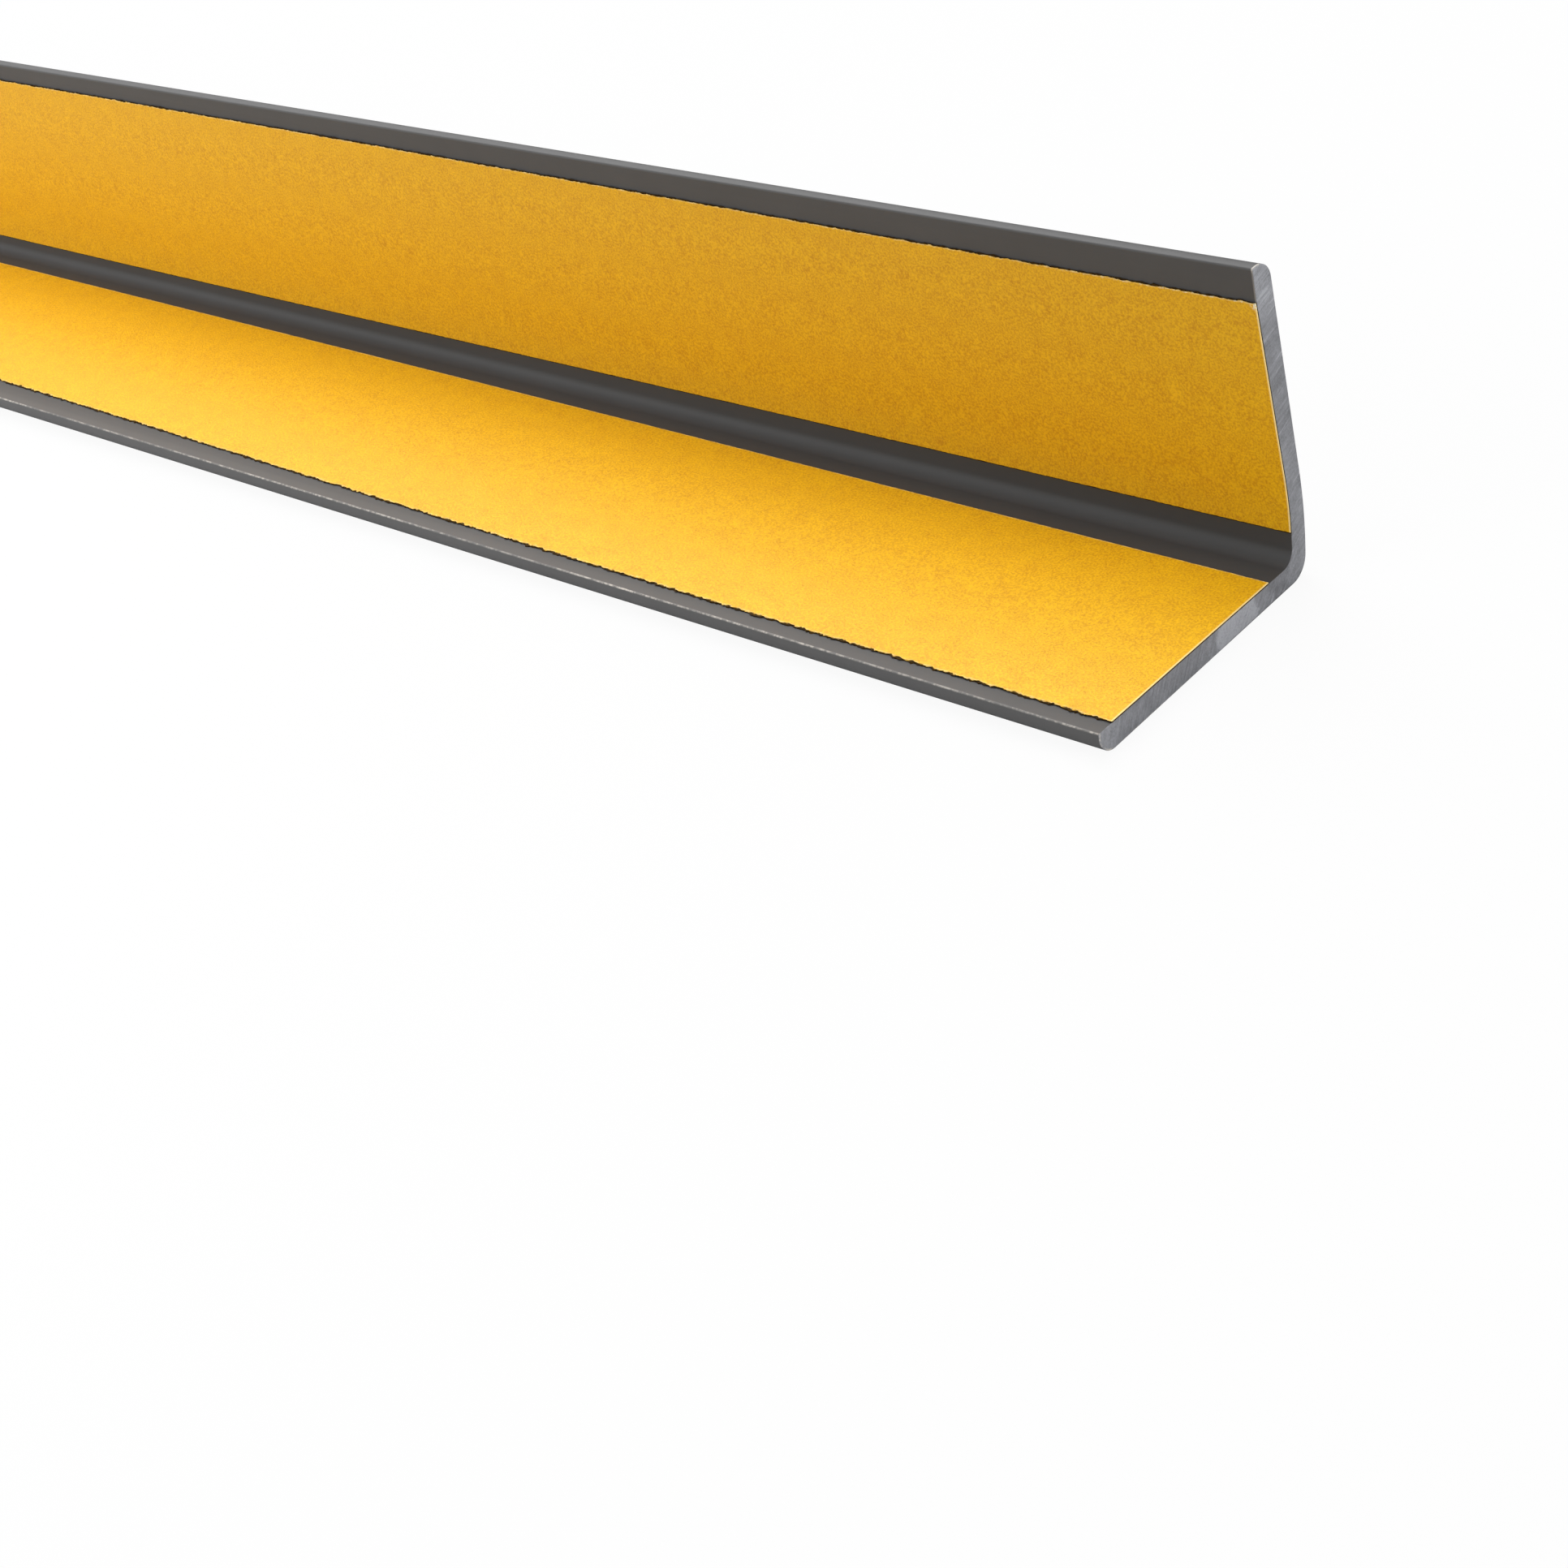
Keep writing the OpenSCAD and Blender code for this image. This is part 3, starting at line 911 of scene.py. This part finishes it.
def floor_material(colours):
    """Pale studio floor that the camera sees as near white, with the object's shadow kept on it."""
    material, tree, shader, where = new_material("Studio floor", Roughness=0.85, Specular_IOR_Level=0.1)
    clouds = scatter(tree, where, 9.0, 3.0)
    darkest = 0.985
    dark = [c * darkest for c in colours.floor]
    tree.links.new(blend_colour(tree, clouds, dark, colours.floor), shader.inputs["Base Color"])
    white = add_node(tree, "ShaderNodeEmission", {"Color": (1, 1, 1, 1), "Strength": 1.0}).outputs[0]
    seen_white = times(tree, seen_rays(tree), WHITE_SHARE)
    upper_side = mix_shaders(tree, seen_white, shader.outputs[0], white)
    # from below the floor is clear, so that the object's underside shows
    from_below = add_node(tree, "ShaderNodeNewGeometry").outputs["Backfacing"]
    clear = add_node(tree, "ShaderNodeBsdfTransparent").outputs[0]
    surface = mix_shaders(tree, from_below, upper_side, clear)
    tree.links.new(surface, tree.nodes["Material Output"].inputs["Surface"])
    return material


# Strips that follow the wall

STRIP_RIM = 0.3 * MM
# Offsets of each slit edge towards the strip's own outside, in millimetres: at the near end, along the
# run and late in the run; and then its share of the fray
BASE_LIP_EDGE = (0.45, 0.0, -1.65, 2.0)
BASE_ROOT_EDGE = (-0.2, 0.9, 0.0, 0.3)
UPRIGHT_ROOT_EDGE = (-0.12, 0.0, 0.82, 0.3)
UPRIGHT_TOP_EDGE = (0.0, 1.25, 0.0, 0.9)
# Each flange's strip: the line that it follows, and the slit edges at the line's two ends
BASE_STRIP = (base_line, BASE_LIP_EDGE, BASE_ROOT_EDGE)
UPRIGHT_STRIP = (upright_line, UPRIGHT_ROOT_EDGE, UPRIGHT_TOP_EDGE)
# How close the rings of points stand along the bar, and how fine the fray of a slit edge is, per metre
BAR_RINGS = 5 * MM
ADHESIVE_RINGS = 0.3 * MM
LINER_RINGS = 0.25 * MM
ADHESIVE_FRAY_SCALE = 1050.0
LINER_FRAY_SCALE = 980.0


def strip_section(name, m, strip, raised, overhang):
    """Closed section of one film on a flange, with its frayed rims and the drift of its slit edges.
    It takes the heights of the two faces off the wall, and how far out, in millimetres, the two slit edges
    stand from the place that their own offsets give."""
    line, first_edge, last_edge = strip
    low, high = [with_rims(line(m, height), STRIP_RIM) for height in raised]
    first_out = unit(low[0] - low[1])
    last_out = unit(low[-1] - low[-2])
    run = [0.0]
    for a, b in zip(low, low[1:]):
        run.append(run[-1] + (b - a).length)
    shares = [r / run[-1] for r in run]

    def spread(first_offset, last_offset):
        """The two edges' offsets, in millimetres, shared out over the line's points by distance."""
        first, last = first_out * (first_offset * MM), last_out * (last_offset * MM)
        return [first * (1 - share) + last * share for share in shares]

    static = spread(first_edge[0] + overhang[0], last_edge[0] + overhang[1])
    still = [Vector((0, 0))] * len(low)
    carried_values = {
        "rim": [first_out, *still[2:], last_out],
        "fray": [first_out * first_edge[3], *still[2:], last_out * last_edge[3]],
        "drift": spread(first_edge[1], last_edge[1]),
        "late_drift": spread(first_edge[2], last_edge[2]),
        "outward": still,
    }
    low, high = [[p + s for p, s in zip(side, static)] for side in (low, high)]
    # the low line runs the same way round the loop as the bar's own outline does
    vectors = {key: values + values[::-1] for key, values in carried_values.items()}
    return section_object(name, low + high[::-1], m.sizes.base_w, vectors)


def lay_strips(m, rows, raised, settings):
    """Builds a strip from each row: its name, CAD node, flange, overhang of both edges and fray's seed."""
    settings = {"Length": m.sizes.length, "Drift Run": m.strips.drift_run, **settings}
    for name, node, strip, overhang, seed in rows:
        piece = strip_section(name, m, strip, raised, overhang)
        sweep_bar(piece, {**settings, "Seed": seed})
        place_piece(piece, node)


def scene_values():
    scene = bpy.context.scene
    return scene.angle_profile_sizes, scene.angle_strip_sizes, scene.angle_finish_colours


class ANGLE_OT_profile(bpy.types.Operator):
    """Extrude the dark grey plastic angle, with its rounded lips, gentle bend and sawn ends"""

    bl_idname = "angle_stock.profile"
    bl_label = "Angle profile"

    def execute(self, context):
        sizes, strips, colours = scene_values()
        m = section_marks(sizes, strips)
        points, matte = profile_outline(m)
        still = [Vector((0, 0))] * len(points)
        vectors = {"outward": outward_normals(points), "fray": still, "drift": still, "late_drift": still}
        piece = section_object("extruded_angle", points, sizes.base_w, vectors, {"matte": matte})
        sweep_bar(piece, {
            "Length": sizes.length,
            "Ring Spacing": BAR_RINGS,
            "Sawn Arris": sizes.saw_arris,
            "Material": plastic_material(colours, sizes),
        })
        place_piece(piece, "angle_profile")
        return {"FINISHED"}


class ANGLE_OT_adhesive(bpy.types.Operator):
    """Lay the two dark adhesive films on the inner faces of the flanges"""

    bl_idname = "angle_stock.adhesive"
    bl_label = "Adhesive films"

    def execute(self, context):
        sizes, strips, colours = scene_values()
        m = section_marks(sizes, strips)
        raised = (0, strips.adhesive_t)
        settings = {
            "Ring Spacing": ADHESIVE_RINGS,
            "Fray": strips.adhesive_fray,
            "Fray Scale": ADHESIVE_FRAY_SCALE,
            "Material": adhesive_material(colours),
        }
        films = (
            ("base_adhesive_film", "adhesive_strip_base", BASE_STRIP, (0.11, -0.05), 3.0),
            ("upright_adhesive_film", "adhesive_strip_upright", UPRIGHT_STRIP, (0.16, 0.08), 11.0),
        )
        lay_strips(m, films, raised, settings)
        return {"FINISHED"}


class ANGLE_OT_liners(bpy.types.Operator):
    """Cover both adhesive films with yellow release paper, whose slit edges fray a little"""

    bl_idname = "angle_stock.liners"
    bl_label = "Paper release liners"

    def execute(self, context):
        sizes, strips, colours = scene_values()
        m = section_marks(sizes, strips)
        raised = (strips.adhesive_t, strips.adhesive_t + strips.liner_t)
        settings = {
            "Ring Spacing": LINER_RINGS,
            "Fray": strips.liner_fray,
            "Fray Scale": LINER_FRAY_SCALE,
            "Material": paper_material(colours, sizes.length / 2, m.strip_top.y),
        }
        liners = (
            ("base_paper_liner", "release_liner_base", BASE_STRIP, (0, 0), 20.0),
            ("upright_paper_liner", "release_liner_upright", UPRIGHT_STRIP, (0, 0), 31.0),
        )
        lay_strips(m, liners, raised, settings)
        return {"FINISHED"}


# Studio, with the camera where the photograph was taken

# The camera, solved from the photograph: metres, degrees, and the picture's own pixels
CAMERA_PLACE = (0.66593, -0.19545, 0.17205)
CAMERA_AZIMUTH = 51.334
CAMERA_ELEVATION = 34.433
CAMERA_ROLL = -15.782
FOCAL_PIXELS = 3417.7
SENSOR_WIDTH = 36.0

# What the softboxes face: the near half of the bar, its front, and the far half
NEAR_HALF = (0.38, 0, 0.01)
NEAR_FRONT = (0.25, 0, 0.02)
FAR_HALF = (-0.35, 0, 0.02)
WHITE = (1, 1, 1)
COOL_WHITE = (0.96, 0.98, 1)
# Name, place, what it faces, size, setting that holds its power, and colour
SOFTBOXES = (
    ("Key softbox", (-0.4, 0.7, 1.5), NEAR_HALF, (1.2, 1.2), "key_power", WHITE),
    ("Top softbox", (0.3, 0.1, 1.7), NEAR_HALF, (1.2, 1.2), "top_power", WHITE),
    ("Rim softbox", (-0.9, 1.1, 1.1), NEAR_HALF, (1.2, 1.0), "rim_power", WHITE),
    ("Fill softbox", (0.2, -0.3, 0.2), NEAR_FRONT, (0.35, 0.25), "fill_power", WHITE),
    ("End softbox", (1.95, 0.2, 0.4), NEAR_HALF, (0.9, 0.9), "end_power", COOL_WHITE),
    ("Far fill softbox", (-0.35, -0.35, 0.25), FAR_HALF, (0.35, 0.25), "far_fill_power", WHITE),
    ("Far end softbox", (-1.2, 0.1, 0.2), FAR_HALF, (0.4, 0.4), "far_end_power", WHITE),
)
FLOOR_REACH = 6.0
# The floor lies a hair under the bar, so that the two don't flicker through each other
FLOOR_LEVEL = -0.02 * MM


def add_camera():
    data = bpy.data.cameras.new("Studio camera")
    data.sensor_fit = "AUTO"
    data.sensor_width = SENSOR_WIDTH
    data.lens = SENSOR_WIDTH * FOCAL_PIXELS / IMAGE_WIDTH
    data.clip_start, data.clip_end = 0.01, 50
    camera = add_object("Studio camera", data)
    turn = (
        Matrix.Rotation(math.radians(CAMERA_AZIMUTH), 4, "Z")
        @ Matrix.Rotation(math.radians(90 - CAMERA_ELEVATION), 4, "X")
        @ Matrix.Rotation(math.radians(CAMERA_ROLL), 4, "Z")
    )
    camera.matrix_world = Matrix.Translation(CAMERA_PLACE) @ turn
    bpy.context.scene.camera = camera
    return camera


def add_softbox(name, place, target, size, power, colour):
    data = bpy.data.lights.new(name, "AREA")
    data.shape = "RECTANGLE"
    data.size, data.size_y = size
    data.energy = power
    data.color = colour
    lamp = add_object(name, data)
    aim = Vector(target) - Vector(place)
    lamp.matrix_world = Matrix.Translation(place) @ aim.to_track_quat("-Z", "Y").to_matrix().to_4x4()
    return lamp


def add_floor(colours):
    signs = ((-1, -1), (1, -1), (1, 1), (-1, 1))
    corners = [(x * FLOOR_REACH, y * FLOOR_REACH, FLOOR_LEVEL) for x, y in signs]
    mesh = bpy.data.meshes.new("studio_floor")
    mesh.from_pydata(corners, [], [(0, 1, 2, 3)])
    mesh.materials.append(floor_material(colours))
    floor = add_object("studio_floor", mesh)
    return floor


def add_room(strength):
    """A background that is seen as white, and lights the object only as strongly as the room does."""
    world = bpy.data.worlds.new("White room")
    bpy.context.scene.world = world
    world.use_nodes = True
    tree = world.node_tree
    tree.nodes.clear()
    lit, seen = [
        add_node(tree, "ShaderNodeBackground", {"Color": (1, 1, 1, 1), "Strength": value}).outputs[0]
        for value in (strength, 1.0)
    ]
    out = add_node(tree, "ShaderNodeOutputWorld")
    tree.links.new(mix_shaders(tree, seen_rays(tree), lit, seen), out.inputs["Surface"])
    return world


class ANGLE_OT_stage(bpy.types.Operator):
    """Set up the pale floor, the soft lights, the white room and the camera"""

    bl_idname = "angle_stock.stage"
    bl_label = "Studio stage"

    def execute(self, context):
        studio = context.scene.angle_studio_settings
        add_floor(context.scene.angle_finish_colours)
        for name, place, target, size, power, colour in SOFTBOXES:
            add_softbox(name, place, target, size, getattr(studio, power), colour)
        add_room(studio.room)
        context.scene.view_settings.view_transform = "Standard"
        add_camera()
        return {"FINISHED"}


class ANGLE_PT_panel(bpy.types.Panel):
    """Lists the pieces of the angle profile and the values that shape them"""

    bl_idname = "ANGLE_PT_panel"
    bl_label = "Angle profile"
    bl_space_type = "VIEW_3D"
    bl_region_type = "UI"
    bl_category = "Angle profile"

    def draw(self, context):
        layout = self.layout
        for operator in OPERATORS:
            layout.operator(operator.bl_idname)
        for holder in SETTINGS:
            values = getattr(context.scene, holder)
            box = layout.box()
            for key in values.__annotations__:
                box.prop(values, key)


OPERATORS = (ANGLE_OT_profile, ANGLE_OT_adhesive, ANGLE_OT_liners, ANGLE_OT_stage)
SETTINGS = {
    "angle_profile_sizes": ProfileSizes,
    "angle_strip_sizes": StripSizes,
    "angle_finish_colours": FinishColours,
    "angle_studio_settings": StudioSettings,
}


def register():
    for holder, group in SETTINGS.items():
        bpy.utils.register_class(group)
        setattr(bpy.types.Scene, holder, bpy.props.PointerProperty(type=group))
    for cls in (*OPERATORS, ANGLE_PT_panel):
        bpy.utils.register_class(cls)


def unregister():
    for cls in (ANGLE_PT_panel, *reversed(OPERATORS)):
        bpy.utils.unregister_class(cls)
    for holder, group in reversed(SETTINGS.items()):
        delattr(bpy.types.Scene, holder)
        bpy.utils.unregister_class(group)


def main():
    register()
    for operator in ("stage", "profile", "adhesive", "liners"):
        getattr(bpy.ops.angle_stock, operator)()


if __name__ == "__main__":
    main()
